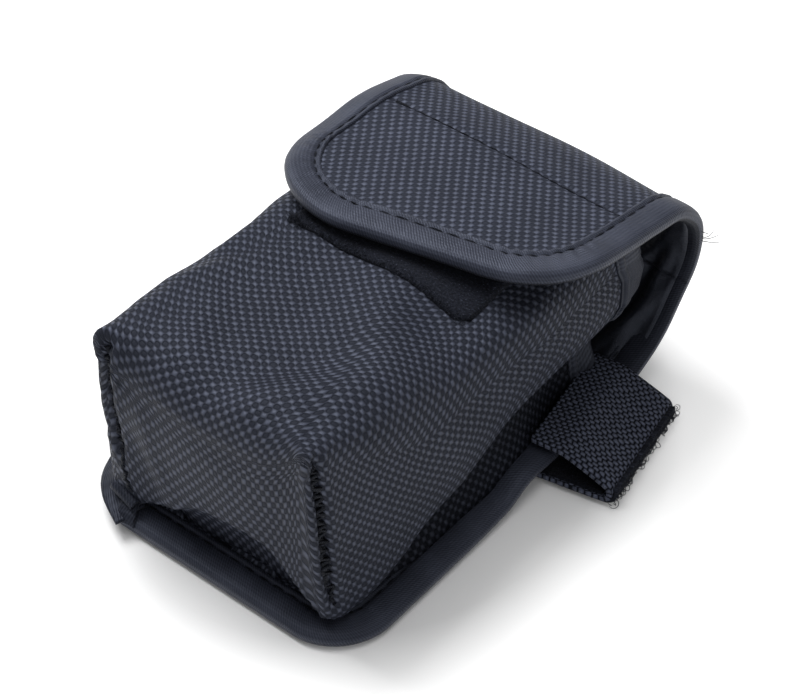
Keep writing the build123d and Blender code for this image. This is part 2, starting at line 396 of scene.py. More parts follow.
def tube(shape, line, radii, sides=6):
    """A closed tube along a line of points; radii is one value, or one for each point."""
    line = np.asarray(line, float)
    radii = np.broadcast_to(np.asarray(radii, float), len(line))
    along = unit(np.gradient(line, axis=0))
    side = np.cross(along[0], (0.31, 0.52, 0.79))
    turn = np.arange(sides) * 2 * math.pi / sides
    rings = []
    for place, direction, radius in zip(line, along, radii):
        side = unit(side - direction * side.dot(direction))
        other = np.cross(direction, side)
        rings.append(place + radius * (np.outer(np.cos(turn), side) + np.outer(np.sin(turn), other)))
    places = np.stack([np.repeat(run_along(line), sides), np.tile(np.arange(sides) * 0.2, len(line))], 1)
    shape.add(np.concatenate(rings), tube_faces(len(line), sides), places)


# ---- the long strip: back, riser and flap ----
def rounded(corners, radii, step):
    """Points about step mm apart along a line with rounded corners."""
    corners = [np.array(corner, float) for corner in corners]
    points = [corners[0]]
    for before, corner, after, radius in zip(corners, corners[1:], corners[2:], radii):
        a, b = unit(before - corner), unit(after - corner)
        half_angle = math.acos(np.clip(a.dot(b), -1, 1)) / 2
        reach = radius / math.tan(half_angle)
        centre = corner + unit(a + b) * radius / math.sin(half_angle)
        start, end = corner + a * reach - centre, corner + b * reach - centre
        sweep = math.pi - 2 * half_angle
        for t in np.linspace(0, 1, max(2, int(radius * sweep / step)) + 1):
            turned = start * math.sin((1 - t) * sweep) + end * math.sin(t * sweep)
            points.append(centre + turned / math.sin(sweep))
    points = np.array(points + [corners[-1]])
    run = run_along(points)
    return places_at(np.linspace(0, run[-1], int(run[-1] / step) + 1), run, points)


def eased(line, width=19):
    """The line with each point averaged with its neighbours, so that arcs run into straights."""
    weights = np.hanning(width) / np.hanning(width).sum()
    padded = np.pad(line, ((width // 2, width // 2), (0, 0)), mode="reflect", reflect_type="odd")
    return np.stack([np.convolve(column, weights, "valid") for column in padded.T], 1)


# side view of the strip's outer face as y, z: back, riser and flap
SIDE_LINE = eased(rounded([(-44, 0), (2, 0), (8, 3.1), (37, 3.2), (48.5, 9.5), (57.9, 24.5), (57.2, 34.5),
                           (50.5, 41.8), (38, 44.9), (-8, 49.2)], [8, 10, 20, 20, 15, 13, 16, 60], 0.25))
RUN = run_along(SIDE_LINE)
SLOPE = unit(np.gradient(SIDE_LINE, axis=0))
FARTHEST = int(np.argmax(SIDE_LINE[:, 0]))


def run_at(y, upper):
    """Distance along the strip where it passes a y, on the flap or on the back."""
    part = slice(FARTHEST, None) if upper else slice(0, FARTHEST)
    order = np.argsort(SIDE_LINE[part, 0])
    return float(np.interp(y, SIDE_LINE[part, 0][order], RUN[part][order]))


RISER_START = run_at(42.6, False)
FLAP_START = run_at(53.9, True)
MID_RISER = (RISER_START + FLAP_START) / 2
HALF = 31.5
CLOTH = 0.9                 # body cloth
SHEET = 2.0                 # body cloth and lining
TAPE_LIFT = 0.5             # tape beyond each face
BACK_CORNER, RIGHT_CORNER, LEFT_CORNER = 12, 19, 20     # radii of the strip's outline
PATH_STEP = 0.8
STITCH, STITCH_PITCH = 3.1, 3.25


def flap_front(x):
    return run_at(4.1 + 0.235 * x, True)


def seam_run(x):
    """Where the straight seam across the flap lies, as a distance along the strip."""
    return run_at(37.3 + 0.025 * x, True)


def strip(x, s, depth):
    """Points on the strip: x across, s along from the bottom edge, depth below the outer face."""
    x, s, depth = (np.asarray(value, float) for value in np.broadcast_arrays(x, s, depth))
    raised = smooth(s, RISER_START - 12, FLAP_START)
    depth = depth + TAPE_LIFT * (1 - raised)
    y, z = (np.interp(s, RUN, column) for column in SIDE_LINE.T)
    dy, dz = (np.interp(s, RUN, column) for column in SLOPE.T)
    y, z = y - dz * depth, z + dy * depth
    out = x * (1 + 0.016 * raised) + raised
    # the flap sags at its sides and front, and wavers behind the seam
    on_flap = smooth(s, FLAP_START - 14, FLAP_START + 4)
    right, left = smooth(x, -20, 27), smooth(-x, -20, 27)
    z = z + on_flap * (1.1 * left * smooth(y, 20, 34) - 0.8 * right * smooth(y, 20, 36))
    z = z - on_flap * (0.9 * smooth(-y, -22, 4) + 1.6 * left * smooth(-x, 23, 32) ** 2)
    z = z - on_flap * 0.7 * smooth(x, 24, 32) * smooth(-y, -30, -6)
    z = z + on_flap * 0.3 * np.cos(x / 9.5 + 0.4) * smooth(y, 4, 14) * (1 - smooth(y, 40, 50))
    groove = np.exp(-((s - seam_run(0.0) + 0.025 * x) / 0.7) ** 2) * (1 - smooth(np.abs(x), 24, 26))
    z = z - on_flap * 0.494 * groove
    # the riser bows, and the back's right edge lifts where the strip leaves the floor
    on_riser = smooth(s, RISER_START, MID_RISER) * (1 - smooth(s, FLAP_START, FLAP_START + 12))
    y = y + on_riser * (0.7 * np.sin(x / 8.0 + 0.6) - 0.5 * smooth(-x, 10, 30))
    z = z + 0.9 * bump_at(out, y, 30, 3, 5, 5) * (1 - smooth(s, 60, 70))
    ripple = 0.22 * np.sin(s / 5.1 + x * 0.05) * smooth(np.abs(x), 22, 31)
    return np.stack([out, y, z + ripple * (0.3 + 0.7 * raised)], -1)


FRONT_LEFT, FRONT_RIGHT = flap_front(-HALF), flap_front(HALF)
BACK_PATH = rounded([(-HALF, MID_RISER), (-HALF, 0), (HALF, 0), (HALF, MID_RISER)],
                    [BACK_CORNER, BACK_CORNER], PATH_STEP)
FLAP_PATH = rounded([(HALF, MID_RISER), (HALF, FRONT_RIGHT), (-HALF, FRONT_LEFT), (-HALF, MID_RISER)],
                    [RIGHT_CORNER, LEFT_CORNER], PATH_STEP)
ASKEW = (FRONT_LEFT - FRONT_RIGHT) / (2 * HALF)     # the flap's front edge isn't square
# centre, radius and outward signs of each rounded corner
ROUND_CORNERS = [
    (BACK_CORNER - HALF, BACK_CORNER, BACK_CORNER, -1, -1),
    (HALF - BACK_CORNER, BACK_CORNER, BACK_CORNER, 1, -1),
    (HALF - RIGHT_CORNER, FRONT_RIGHT + RIGHT_CORNER * (ASKEW - 1 / math.cos(ASKEW)), RIGHT_CORNER, 1, 1),
    (LEFT_CORNER - HALF, FRONT_LEFT - LEFT_CORNER * (ASKEW + 1 / math.cos(ASKEW)), LEFT_CORNER, -1, 1),
]


def inside_outline(x, s, inset):
    """Whether a place on the flat strip lies inside its outline by at least inset."""
    front = np.interp(x, [-HALF, HALF], [FRONT_LEFT, FRONT_RIGHT])
    inside = (np.abs(x) < HALF - inset) & (s > inset) & (s < front - inset)
    for cx, cs, radius, sign_x, sign_s in ROUND_CORNERS:
        beyond = ((x - cx) * sign_x > 0) & ((s - cs) * sign_s > 0)
        inside &= ~beyond | (np.hypot(x - cx, s - cs) < radius - inset)
    return inside


def slab(low_s, high_s, top, bottom, inset, step, x_low=-HALF, x_high=HALF, extra=None):
    """A sheet of the strip between two depths, cut to the outline; extra adds to the lower depth."""
    xs = np.arange(x_low, x_high + step / 2, step)
    ss = np.linspace(low_s, high_s, max(2, int(round((high_s - low_s) / step)) + 1))
    grid_x, grid_s = np.meshgrid(xs, ss)
    middles = [(grid[:-1, :-1] + grid[1:, 1:]) / 2 for grid in (grid_x, grid_s)]
    keep = inside_outline(*middles, inset)
    quads = np.array(grid_faces(len(ss), len(xs))).reshape(*keep.shape, 4)[keep]
    used, index = np.unique(quads, return_inverse=True)
    flat_x, flat_s = grid_x.ravel()[used], grid_s.ravel()[used]
    below = bottom if extra is None else bottom + extra(flat_x, flat_s)
    faces = index.reshape(-1, 4)[:, ::-1].tolist()
    behind, rim = both_sides(faces, len(used))
    cloth = np.stack([flat_x, flat_s], 1)
    points = np.concatenate([strip(flat_x, flat_s, top), strip(flat_x, flat_s, below)])
    shape = Shape()
    shape.add(points, faces + behind + rim, np.concatenate([cloth, cloth]))
    return shape


LINING_FOLDS = (    # middle, lean, half width, height
    (29.8, 0.22, 0.8, 1.0), (26.6, 0.26, 0.9, 1.3), (22.8, 0.2, 1.0, 1.4),
    (18.5, 0.12, 1.6, 1.1), (11.5, 0.1, 1.7, 0.9), (4.0, -0.10, 2.2, 0.9),
    (-5.0, 0.06, 2.0, 0.8), (-13.5, 0.12, 2.3, 0.9), (-22.0, 0.05, 1.8, 0.8))


def lining_folds(x, s):
    """Long soft folds of the loose lining inside the bend, and shallow ones elsewhere."""
    inside_bend = smooth(s, RISER_START - 14, RISER_START + 6)
    inside_bend = inside_bend * (1 - smooth(s, FLAP_START + 4, FLAP_START + 20))
    total = np.zeros_like(x)
    for centre, lean, width, height in LINING_FOLDS:
        line = centre + lean * (s - MID_RISER) + 1.2 * np.sin(s / 7.5 + centre)
        total += height * np.exp(-0.5 * ((x - line) / width) ** 2)
    total *= inside_bend * (1 - 0.6 * smooth(np.abs(x), 26, 30))
    over_tape = 0.75 * smooth(s, RISER_START, RISER_START + 8) * (1 - smooth(s, FLAP_START - 8, FLAP_START))
    return total + over_tape + 0.25 * np.sin(x / 3.1 + s / 4.7) * (1 - smooth(np.abs(x), 24, 29))


# the folded tape's section, round its outside and back inside: how far in from the edge, how deep
TAPE_SECTION = np.array([
    (6.4, 0.1), (6.38, -0.3), (6.2, -0.54), (5.9, -0.6), (5.62, -0.5), (5.42, -0.2), (5.2, -0.12),
    (5.0, -0.3), (4.7, -0.54), (4.4, -0.6), (3.4, -0.62), (2.4, -0.6), (1.4, -0.54), (0.7, -0.38),
    (0.2, -0.05), (-0.05, 0.45), (-0.12, 1.0), (-0.05, 1.55), (0.2, 2.05), (0.7, 2.38), (1.4, 2.54),
    (2.4, 2.6), (3.4, 2.62), (4.4, 2.6), (4.7, 2.54), (5.0, 2.36), (5.2, 2.22), (5.42, 2.3),
    (5.6, 2.62), (5.85, 2.74), (6.2, 2.66), (6.38, 2.4), (6.4, 1.9), (5.9, 1.96),
    (3.0, 1.95), (0.8, 1.8), (0.5, 1.0), (0.8, 0.2), (3.0, 0.05), (5.9, 0.04),
])


def outward_of(path):
    """Outward directions along a path on the flat strip."""
    along = unit(np.gradient(path, axis=0))
    return np.stack([along[:, 1], -along[:, 0]], 1)


def tape_ring(name, path, seed):
    """Satin tape folded round the edge of the strip along a path."""
    outward = outward_of(path)
    run = np.arange(len(path)) * PATH_STEP
    inward, deep = TAPE_SECTION.T
    bend = np.abs(np.gradient(np.unwrap(np.arctan2(outward[:, 1], outward[:, 0])))) / PATH_STEP
    pucker = smooth(bend, 0.01, 0.04)
    girth = run_along(TAPE_SECTION)
    points, cloth = [], []
    for i, (place, out, at) in enumerate(zip(path, outward, run)):
        fade = float(smooth(min(at, run[-1] - at), 0, 10))
        wander = 0.25 * noise_at(at / 11, seed) + 0.1 * noise_at(at / 3, seed, 5)
        inset = inward + fade * wander * smooth(inward, 3, 6)
        swell = 1 + fade * 0.25 * noise_at(at / 6, seed, 9)
        pinch = 0.056 * math.sin(at * 2 * math.pi / STITCH_PITCH) * np.exp(-((inward - 5.4) / 0.9) ** 2)
        crease = 0.16 * pucker[i] * np.sin(at * 1.9 + inward * 0.7) * smooth(inward, 1.5, 4)
        depth = 1 + (deep - 1) * swell ** 0.3 + np.sign(deep - 1) * (pinch + crease)
        points.append(strip(place[0] - out[0] * inset, place[1] - out[1] * inset, depth))
        cloth.append(np.stack([np.full(len(deep), at), girth], 1))
    rows, columns = len(path), len(deep)
    shape = Shape()
    shape.add(np.concatenate(points), tube_faces(rows, columns, flip=True), np.concatenate(cloth))
    piece = shape.make(name, TAPE)
    inside = np.concatenate([np.tile(deep > 1.2, rows - 1), [False, False]])
    place = np.concatenate([np.repeat(path[:-1, 1], columns), [0, 0]])
    # inner faces from the riser on get the painted shade
    inside_painted_shade = inside & (place > RISER_START - 4)
    repaint(piece, inside + 1 * inside_painted_shade, TAPE_INSIDE, TAPE_PAINTED_SHADE)
    return piece


def stitch_row(shape, path, inset, depth, sign, radius=0.14):
    """Stitches along a path on the strip, lying on the face at a depth; sign is the way out."""
    outward, run = outward_of(path), run_along(path)
    arch = np.sin(np.linspace(0, math.pi, 7))
    at = 1.0
    while at + STITCH < run[-1] - 1.0:
        where = at + np.linspace(0, STITCH, 7)
        base, out = places_at(where, run, path), places_at(where, run, outward)
        flat = base - out * (inset + rng.normal(0, 0.08))
        line = strip(flat[:, 0], flat[:, 1], depth + sign * (arch * 0.3 - 0.18))
        tube(shape, line, radius * (0.55 + 0.45 * arch))
        at += STITCH_PITCH * (1 + rng.normal(0, 0.02))


def flap_seam():
    """The straight row of stitches across the flap, with a tight tack at its left-hand end."""
    xs = np.linspace(-24.0, 25.8, 70)
    line = np.stack([xs, np.array([seam_run(x) for x in xs])], 1)
    sewing = Shape()
    stitch_row(sewing, line, 0.0, 0.0, -1, radius=0.17)
    tube(sewing, strip(line[:, 0], line[:, 1], 0.0), 0.14)
    arch = np.sin(np.linspace(0, math.pi, 7))
    for x in -23.9 + np.arange(9) * 0.3:
        s = seam_run(x) + np.linspace(-0.5, 0.5, 7)
        tube(sewing, strip(np.full(7, x + rng.normal(0, 0.05)), s, 0.15 - 0.3 * arch), 0.14)
    return sewing.make("flap_seam_stitches", THREAD)


def make_strip():
    """The cloth, lining, binding and stitches of the strip, each in two parts that meet mid-riser."""
    parts = (("back", 1.2, MID_RISER, BACK_PATH, 3.7), ("flap", MID_RISER, float(RUN[-1]), FLAP_PATH, 8.1))
    for name, low, high, path, seed in parts:
        panel = slab(low, high, 0.0, CLOTH, 1.6, 0.6).make(name + "_cloth", BALLISTIC_FLAP)
        lining = slab(low, high, CLOTH + 0.05, SHEET, 1.8, 0.9, extra=lining_folds)
        lining = lining.make(name + "_inner", LINING)
        tape = tape_ring(name + "_tape", path, seed)
        sewing = Shape()
        stitch_row(sewing, path, 5.2, -0.2, -1)
        stitch_row(sewing, path, 5.2, 2.2, 1)
        yield panel, lining, tape, sewing.make(name + "_tape_stitches", THREAD)


def hair(shape, start, way, length, curl, radius):
    """One stray fibre that leaves start and curls round."""
    way = unit(way)
    side = unit(np.cross(way, rng.normal(0, 1, 3)))
    turn = np.linspace(0, curl, 9)
    line = start + length / curl * (np.outer(np.sin(turn), way) + np.outer(1 - np.cos(turn), side))
    tube(shape, line, np.linspace(radius, radius * 0.6, 9), 5)


back, flap = make_strip()
seam = flap_seam()
loose = Shape()
for drop, length, curl in ((0.0, 4.6, 0.9), (0.5, 3.4, 1.6), (1.1, 5.0, 0.6), (-1.6, 1.5, 2.5)):
    hair(loose, strip(HALF + 0.2, FLAP_START - 8 - drop, 1.0), (0.15, 0.6, -0.5), length, curl, 0.09)
loose_threads = loose.make("loose_threads", THREAD)
# in metres, across each bend
y0, z0 = (places_at(RISER_START, RUN, SIDE_LINE) * MM).tolist()
y1, z1 = (places_at(FLAP_START, RUN, SIDE_LINE) * MM).tolist()
for piece in back:
    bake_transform(piece)
for piece in flap:
    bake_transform(piece)


# ---- the pocket ----
def floor_under(y):
    """Height of the inner face of the back under the pocket."""
    return float(np.interp(run_at(np.clip(y, -44, 46), False), RUN, SIDE_LINE[:, 1])) + SHEET + TAPE_LIFT


COUNTS = (14, 28, 14, 30)   # foot to crease, crease to corner, corner, half of the front
HALF_COUNT = sum(COUNTS)
# the crease low on each side, as y and z, and the fold low on the closed end, as x and z
CREASE_LINE = ([-43, -35, -26, 2, 9, 20, 46], [4.2, 5.4, 8.2, 18.4, 20.3, 21.2, 21.9])
FOLD_LINE = ([-24, -18, -12, -3, 5, 12, 18, 22, 25], [4.0, 5.4, 8.6, 15.0, 17.2, 15.4, 11.0, 7.4, 4.5])


def quadratic(start, pull, end, count):
    """Points of a curve from start towards end, drawn to pull; end itself is left out."""
    t = np.linspace(0, 1, count + 1)[:-1, None]
    return (1 - t) ** 2 * start + 2 * t * (1 - t) * pull + t ** 2 * end


def half_section(y, side):
    """One half of a cross-section, from its foot up and over to the middle of the front."""
    def at(*pairs):
        return float(np.interp(y, pairs[0::2], pairs[1::2]))

    foot = np.array([at(-43, 21.8, -37, 23.2, -31, 25.6, -20, 27.2, 16, 27.2, 30, 25.0, 46, 24.8),
                     floor_under(y) + at(-43, 0.1, -34, 0.2, -28, 0.9, 18, 0.9, 30, 0.1)])
    crease = np.array([at(-43, 25.4, -34, 26.8, -24, 27.7, 20, 28.2, 46, 27.6), np.interp(y, *CREASE_LINE)])
    if side > 0:
        corner = np.array([at(-43, 24.2, -20, 26.6, 10, 27.4, 46, 26.9),
                           at(-43, 45.8, -36, 44.6, -14, 43.2, 20, 41.0, 46, 38.8)])
        reach = at(-43, 1.6, -37, 4.0, -18, 12.0, 6, 11.0, 26, 9.0, 46, 8.5)
    else:
        corner = np.array([at(-43, 22.6, -30, 24.4, 10, 26.8, 46, 27.0),
                           at(-43, 45.8, -34, 44.8, -14, 44.0, 20, 41.6, 46, 38.8)])
        reach = at(-43, 2.0, -30, 4.5, 6, 7.0, 46, 6.5)
    middle = np.array([0.0, at(-43, 44.4, -24, 44.0, 0, 43.2, 20, 42.2, 46, 40.4)])
    tuck_depth = at(-43, 0.2, -34, 1.2, -20, 4.4, 46, 6.0)
    tuck = np.array([min(foot[0], crease[0]) - tuck_depth, mix(foot[1], crease[1], 0.85)])
    slope = (middle[1] - corner[1]) / corner[0]
    low, high = corner + unit(crease - corner) * reach, corner + np.array([-reach, reach * slope])
    t = np.linspace(0, 1, COUNTS[1] + 1)[:-1, None]
    belly = np.array([at(-43, 0.3, -20, 0.7, 46, 0.3), 0.0]) * np.sin(t * math.pi)
    parts = [quadratic(foot, tuck, crease, COUNTS[0]), mix(crease, low, t) + belly,
             quadratic(low, corner, high, COUNTS[2]),
             mix(high, middle, np.linspace(0, 1, COUNTS[3] + 1)[:, None])]
    return np.concatenate(parts) * np.array([side, 1.0])


def end_y(x, z):
    """How far out the closed end stands: a tuck at the foot, then a fold, then a full upper part."""
    fold = np.interp(x, *FOLD_LINE)
    upper = np.interp(z, [3, 12, 27, 42, 60], [-41.0, -41.7, -42.5, -42.9, -42.9])
    share = np.clip((fold - z) / np.maximum(fold - 2.4, 0.5), 0, 1)
    return upper + (4.2 + 1.4 * smooth(np.abs(x), 17, 23)) * (1 - (1 - share) ** 2.8)


# how far the mouth reaches, from foot to foot
LIP = np.interp(np.arange(HALF_COUNT + 1), [0, 8, 12, 14, 18, 34, 44, 50, 58, HALF_COUNT],
                [35.5, 37.0, 39.5, 42.0, 44.9, 45.6, 44.4, 43.0, 40.2, 36.5])
LIP = np.concatenate([LIP[:-1], LIP[::-1]])
TURN = np.radians((0, 12, 24, 36, 48, 60, 72, 82))      # round the edge between end and sides
END_Y, SIDES_Y, MOUTH_Y = -42.5, -40.3, 44.0            # stations of the cross-sections
END_EDGE = 52.0             # the end's edge on the flat cloth, below the middle of the front


def pocket_rows(inset, rows):
    """Rows of points over the pocket's sides and front, from its closed end to its mouth."""
    def whole(y):
        return np.concatenate([half_section(y, -1)[:-1], half_section(y, 1)[::-1]])

    first = whole(END_Y)
    across = np.clip(np.abs(first[:, 0]) / 22.0, 0, 1)
    on_front = smooth(first[:, 1], 38, 44)
    radius = mix(np.where(first[:, 0] < 0, 2.8, 1.6), 9.0 - 7.8 * across ** 4, on_front)
    grid = []
    for angle in TURN:
        line = first.copy()
        drop = radius * (1 - math.sin(angle))
        line[:, 0] -= np.sign(line[:, 0]) * mix(drop, 0, on_front) * np.clip(np.abs(line[:, 0]) / 10, 0, 1)
        line[:, 1] -= drop * on_front
        y = end_y(line[:, 0], line[:, 1]) + radius * (1 - math.cos(angle))
        grid.append(np.stack([line[:, 0], y, line[:, 1]], 1))
    start = end_y(first[:, 0], first[:, 1]) + radius
    for share in np.linspace(0, 1, rows):
        line = whole(mix(SIDES_Y, MOUTH_Y, share))
        grid.append(np.stack([line[:, 0], mix(start, LIP, share), line[:, 1]], 1))
    grid = np.array(grid)
    for _ in range(6):
        eased_rows = (grid[:-2] + grid[2:] + 2 * grid[1:-1]) / 4
        grid[len(TURN) - 1:-1] = eased_rows[len(TURN) - 2:]
    if inset:
        middle, size = np.array([0, 0, 23.0]), np.array([27.0, 1.0, 21.0])
        grid = middle + (grid - middle) * np.where(size > 1, 1 - inset / size, 1)
        grid[:, :, 1] += inset * (1 - np.linspace(0, 1, len(grid)))[:, None]
    return grid


# the two sewn corners: x and y at some heights
SEAM_HEIGHTS = [3, 10, 19, 32, 44]
CORNER_LINES = (([-19.4, -19.8, -20.4, -20.4, -20.0], [-36.5, -39.0, -41.6, -42.2, -42.6]),
                ([22.8, 25.2, 25.4, 24.8, 24.0], [-36.4, -39.6, -40.9, -41.2, -41.8]))
# hills of the slack cloth on the front: middle x and y, half sizes, turn in degrees, height
FRONT_HILLS = (
    (-4, -16, 11, 12, 0, -1.7), (14, -30, 2.8, 12, -38, 1.1), (6, -27, 3.0, 11, -30, -1.2),
    (19, -2, 4.5, 7, 25, -1.7), (10, -8, 3.0, 9, 40, 0.9), (23, 9, 3.5, 9, -10, -1.3),
    (-21, -13, 2.0, 6, -30, -0.9), (-16, -9, 2.0, 9, -28, 0.7), (-11, -30, 2.5, 8, 30, 0.5))
# on the closed end, by x and z: a puffed upper part, and valleys that come down from its corners
END_HILLS = (
    (4, 27, 13, 8, 0, 1.0), (-15.5, 19, 2.4, 9, 12, -1.0), (-11.5, 20, 2.0, 10, 14, 0.7),
    (-17.6, 30, 1.4, 8, 4, 0.6), (18, 28, 3.0, 9, -12, -0.9), (11, 15, 4, 9, -35, -0.6))


def corner_line(line, z):
    """Places of a sewn corner at some heights, made ragged by the cut edge of the cloth."""
    ragged = 0.22 * np.sin(z * 3.1) + 0.15 * np.sin(z * 5.3 + 1)
    return np.interp(z, SEAM_HEIGHTS, line[0]) + ragged, np.interp(z, SEAM_HEIGHTS, line[1])


def pocket_dents(points, normals):
    """Sags, folds and hollows of the limp pocket, added along the surface normals."""
    x, y, z = points.T
    front = smooth(normals[:, 2], 0.3, 0.8)
    end = smooth(-normals[:, 1], 0.4, 0.85)
    side = smooth(np.abs(normals[:, 0]), 0.5, 0.85)
    push = side * 0.4 * np.sin(y / 6.0 + z / 7.0) * smooth(y, -38, -24)
    for *hill, height in FRONT_HILLS:
        push += front * height * bump_at(x, y, *hill)
    for *hill, height in END_HILLS:
        push += end * height * bump_at(x, z, *hill)
    # each sewn corner is a deep slit between two rolls
    for line in CORNER_LINES:
        seam_x, seam_y = corner_line(line, z)
        gap = np.hypot(x - seam_x, y - seam_y)
        fade = 1 - smooth(z, 42.5, 45)
        push += (0.45 * np.exp(-((gap - 1.9) / 0.9) ** 2) - 1.9 * np.exp(-(gap / 0.75) ** 2)) * fade
    for scale, seed, height in ((8.0, 1.3, 0.32), (3.0, 4.1, 0.08)):
        push += height * np.array([noise_at(*(p / scale + (seed, 0, seed))) for p in points])
    return push


def flat_places(grid):
    """Where the points of the pocket's rows lie on the flat cloth: across from the middle, and along."""
    rows, columns = grid.shape[:2]
    across = np.cumsum(np.linalg.norm(np.diff(grid[:, :, [0, 2]], axis=1), axis=2), axis=1)
    across = np.concatenate([np.zeros((rows, 1)), across], axis=1)
    down = np.cumsum(np.linalg.norm(np.diff(grid, axis=0), axis=2), axis=0)
    down = np.concatenate([np.zeros((1, columns)), down])
    return np.stack([across - across[:, columns // 2, None], down - END_EDGE], -1)


def closed_end(first, across, inset, base):
    """The end face: a grid between the two sewn corners that shares the rows' first line of points.

    Gives its own points, numbered from base, its faces, and the cloth places of their corners."""
    columns = len(first)
    deep = COUNTS[0] + COUNTS[1] + COUNTS[2] // 2      # rows of faces, from the top to the foot
    top = np.arange(deep, columns - deep)
    left, right = np.arange(deep, -1, -1), np.arange(columns - 1 - deep, columns)
    u, v = np.linspace(0, 1, len(top))[None, 1:-1, None], np.linspace(0, 1, deep + 1)[1:, None, None]
    low = mix(first[left[-1]], first[right[-1]], u)
    flat = mix(mix(first[top[0]], first[top[-1]], u), low, v)
    added = mix(first[left[1:], None], first[right[1:], None], u) + mix(first[None, top[1:-1]], low, v) - flat
    added[..., 1] = end_y(added[..., 0], added[..., 2]) + inset
    ids = -np.ones((deep + 1, len(top)), int)
    ids[0, :], ids[:, 0], ids[:, -1] = top, left, right
    ids[1:, 1:-1] = base + np.arange(added[..., 0].size).reshape(added.shape[:2])
    height = first[top[0], 2] - first[left[-1], 2]
    down = -END_EDGE - height * np.linspace(0, 1, deep + 1)
    places = np.stack(np.meshgrid(across[top], down), -1)
    faces, corners = (np.stack([grid[:-1, :-1], grid[1:, :-1], grid[1:, 1:], grid[:-1, 1:]], 2)
                      for grid in (ids, places))
    return added.reshape(-1, 3), faces.reshape(-1, 4).tolist(), corners.reshape(-1, 4, 2).tolist()


def pocket_piece(name, material, thickness, inset=0.0, rows=92):
    """One layer of the pocket: sides and front, then the closed end. Gives the piece, its points,
    its faces and the rows of points from end to mouth."""
    grid = pocket_rows(inset, rows)
    flat = flat_places(grid)
    points, faces = grid.reshape(-1, 3), grid_faces(*grid.shape[:2])
    added, cap, own = closed_end(grid[0], flat[0, :, 0], inset, len(points))
    points, faces = np.concatenate([points, added]), faces + cap
    cloth = np.concatenate([flat.reshape(-1, 2), np.zeros((len(added), 2))])
    normals = normals_of(points, faces)
    points = points + normals * pocket_dents(points, normals)[:, None]
    piece = sheet_piece(name, material, points, faces, cloth, thickness, own)
    return piece, points, faces, points[:flat[..., 0].size].reshape(grid.shape)


def paint_tuck_shade(piece):
    """Below its crease the side turns under; there its faces get a darker, duller copy of the cloth, a
    painted shade.
    """
    centres = np.zeros(len(piece.data.polygons) * 3)
    piece.data.polygons.foreach_get("center", centres)
    x, y, z = centres.reshape(-1, 3).T / MM
    # faces below the crease, where the shade is painted
    under = (z < np.interp(y, *CREASE_LINE) + 0.1) & (y > -39.5) & (np.abs(x) > 21)
    repaint(piece, under, BALLISTIC_PAINTED_SHADE)


pocket, points, faces, POCKET_ROWS = pocket_piece("pocket_cloth", BALLISTIC, 0.9)
paint_tuck_shade(pocket)
POCKET_TREE = BVHTree.FromPolygons([Vector(p) for p in points.tolist()], faces)
inner = pocket_piece("pocket_inner", LINING, 0.35, 1.15, 60)[0]


def corner_painted_shade():
    """Near-black lines sunk into the two sewn corners: painted shade along their deep slits."""
    sewing = Shape()
    z = np.linspace(5, 42.5, 90)
    for corner in CORNER_LINES:
        line = np.stack([*corner_line(corner, z), z], 1)
        for i, place in enumerate(line):
            hit, normal, _, _ = POCKET_TREE.find_nearest(Vector(place))
            line[i] = hit + normal * 0.05
        tube(sewing, line, 0.34 + 0.12 * np.sin(z * 4.1) + 0.06 * np.sin(z * 9.7))
    return sewing.make("corner_painted_shade", THREAD)


# painted shade in the two corner slits
painted_corner_shade = corner_painted_shade()


# the mouth tape's section: along the cloth from the lip, and out from the cloth
MOUTH_SECTION = [
    (-9.3, 0.02), (-9.2, 0.3), (-8.8, 0.42), (-8.4, 0.2), (-8.1, 0.5), (-7.6, 0.85), (-7.0, 0.9),
    (-6.5, 0.6), (-6.2, 0.22), (-5.8, 0.36), (-4.5, 0.5), (-3.0, 0.55), (-1.5, 0.5), (-0.5, 0.3),
    (0.1, -0.2), (0.15, -0.8), (-0.3, -1.4), (-1.2, -1.75), (-4.0, -1.8), (-7.6, -1.75),
    (-7.6, -1.2), (-2.0, -1.1), (-0.6, -0.7), (-0.7, -0.2), (-3.0, 0.0), (-6.0, 0.0)]
MOUTH_NARROWER, MOUTH_THINNER = 0.78, 0.85      # its size in proportion to that section


def mouth_tape():
    """Ribbed tape folded over the mouth, with a rolled bead along its inner edge."""
    near = POCKET_ROWS[-40:]
    columns = near.shape[1]
    points, cloth = [], []
    for c in range(columns):
        line = near[:, c]
        run = run_along(line)
        across = near[:, min(c + 1, columns - 1)] - near[:, max(c - 1, 0)]
        normals = unit(np.cross(across, np.gradient(line, axis=0)))
        for at, height in MOUTH_SECTION:
            at = at * MOUTH_NARROWER if at < 0 else at
            base, way = places_at(run[-1] + at, run, line), places_at(run[-1] + at, run, normals)
            beyond = max(at, 0.0) * unit(line[-1] - line[-2])
            points.append(base + beyond + way * height * MOUTH_THINNER)
            cloth.append((c * 0.82, at))
    shape = Shape()
    shape.add(points, tube_faces(columns, len(MOUTH_SECTION)), cloth)
    return shape.make("mouth_tape", MOUTH)


mouth = mouth_tape()


def on_pocket(x, y):
    """The point of the pocket's front above a place, and its normal."""
    hit, normal, _, _ = POCKET_TREE.ray_cast(Vector((x, y, 80)), Vector((0, 0, -1)))
    return np.array(hit), np.array(normal)


